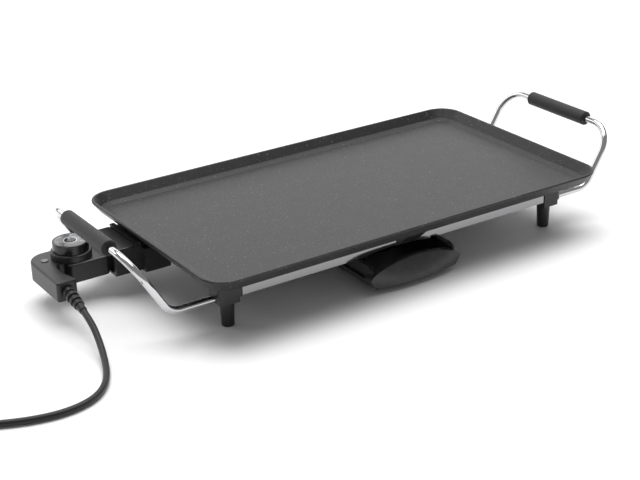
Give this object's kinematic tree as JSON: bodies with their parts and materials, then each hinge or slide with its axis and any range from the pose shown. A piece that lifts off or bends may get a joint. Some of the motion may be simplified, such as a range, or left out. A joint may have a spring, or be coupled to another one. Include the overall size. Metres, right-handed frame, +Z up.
{
  "type": "electric griddle",
  "caption": "Table-top electric griddle: rimmed coated plate on feet, end handles, slide-out drip tray and plug-in thermostat control with mains lead.",
  "frame": {"origin": "bottom centre of the appliance box without its mains lead, on the plane the feet stand on", "axes": "+X along the plate away from the control, -Y the front where the drip tray pulls out, +Z up"},
  "size_m": [0.8092, 0.278, 0.0948],
  "materials": {
    "coating": "speckled non-stick coating, satin",
    "bright_sheet": "brushed",
    "chrome": "polished",
    "grip_rubber": "matte",
    "foot_plastic": "satin moulded",
    "shroud_plastic": "fine moulded grain",
    "tray_plastic": "satin moulded",
    "case_plastic": "fine moulded grain",
    "knob_plastic": "glossy",
    "dial_face": "glossy printed",
    "dial_centre": "glossy",
    "lens": "smoke-tinted lens",
    "lamp_glass": "clear",
    "element_steel": "satin",
    "cast_block": "as cast",
    "chute_enamel": "black",
    "ceramic": "ceramic, unglazed",
    "brass": "plain",
    "screw_steel": "zinc plated",
    "cord_rubber": "matte",
    "plug_plastic": "satin",
    "tie_plastic": "nylon"
  },
  "bodies": {
    "base": {"griddle_plate": "coating", "drain_chute": "chute_enamel", "heating_element": "element_steel", "element_clamps": "bright_sheet", "sensor_block": "cast_block", "heat_reflector": "bright_sheet", "reflector_screws": "screw_steel", "foot_front_left": "foot_plastic", "foot_front_right": "foot_plastic", "foot_back_left": "foot_plastic", "foot_back_right": "foot_plastic", "foot_screws": "screw_steel", "handle_rod_left": "chrome", "handle_rod_right": "chrome", "handle_grip_left": "grip_rubber", "handle_grip_right": "grip_rubber", "connector_shroud": "shroud_plastic", "terminal_insulators": "ceramic", "terminal_pins": "element_steel", "shroud_screws": "screw_steel", "tray_rail_left": "bright_sheet", "tray_rail_right": "bright_sheet"},
    "tray": {"drip_tray": "tray_plastic"},
    "control": {"control_case_lower": "case_plastic", "control_case_upper": "case_plastic", "control_case_screws": "screw_steel", "terminal_sockets": "brass", "sensing_probe": "element_steel", "dial_ring": "case_plastic", "contact_blades": "brass", "blade_mount": "ceramic", "terminal_block": "ceramic", "neon_lamp": "lamp_glass", "indicator_lens": "lens", "strain_relief": "cord_rubber", "cord_lead": "cord_rubber", "cord_coil": "cord_rubber", "cord_tail": "cord_rubber", "cord_tie": "tie_plastic", "plug_relief": "cord_rubber", "plug_body": "plug_plastic", "plug_pins": "element_steel"},
    "dial": {"knob": "knob_plastic", "dial_disc": "dial_face", "dial_cap": "dial_centre", "knob_shaft": "element_steel"}
  },
  "joints": [
    {"name": "tray_slide", "type": "slide", "parent": "base", "child": "tray", "axis": [0, -1, 0], "range_m": [0, 0.095]},
    {"name": "control_unplug", "type": "slide", "parent": "base", "child": "control", "axis": [-1, 0, 0], "range_m": [0, 0.13]},
    {"name": "dial_turn", "type": "hinge", "parent": "control", "child": "dial", "pos_m": [-0.26715, 0.0545, 0.05], "axis": [0, 0, -1], "range_deg": [0, 270]}
  ]
}
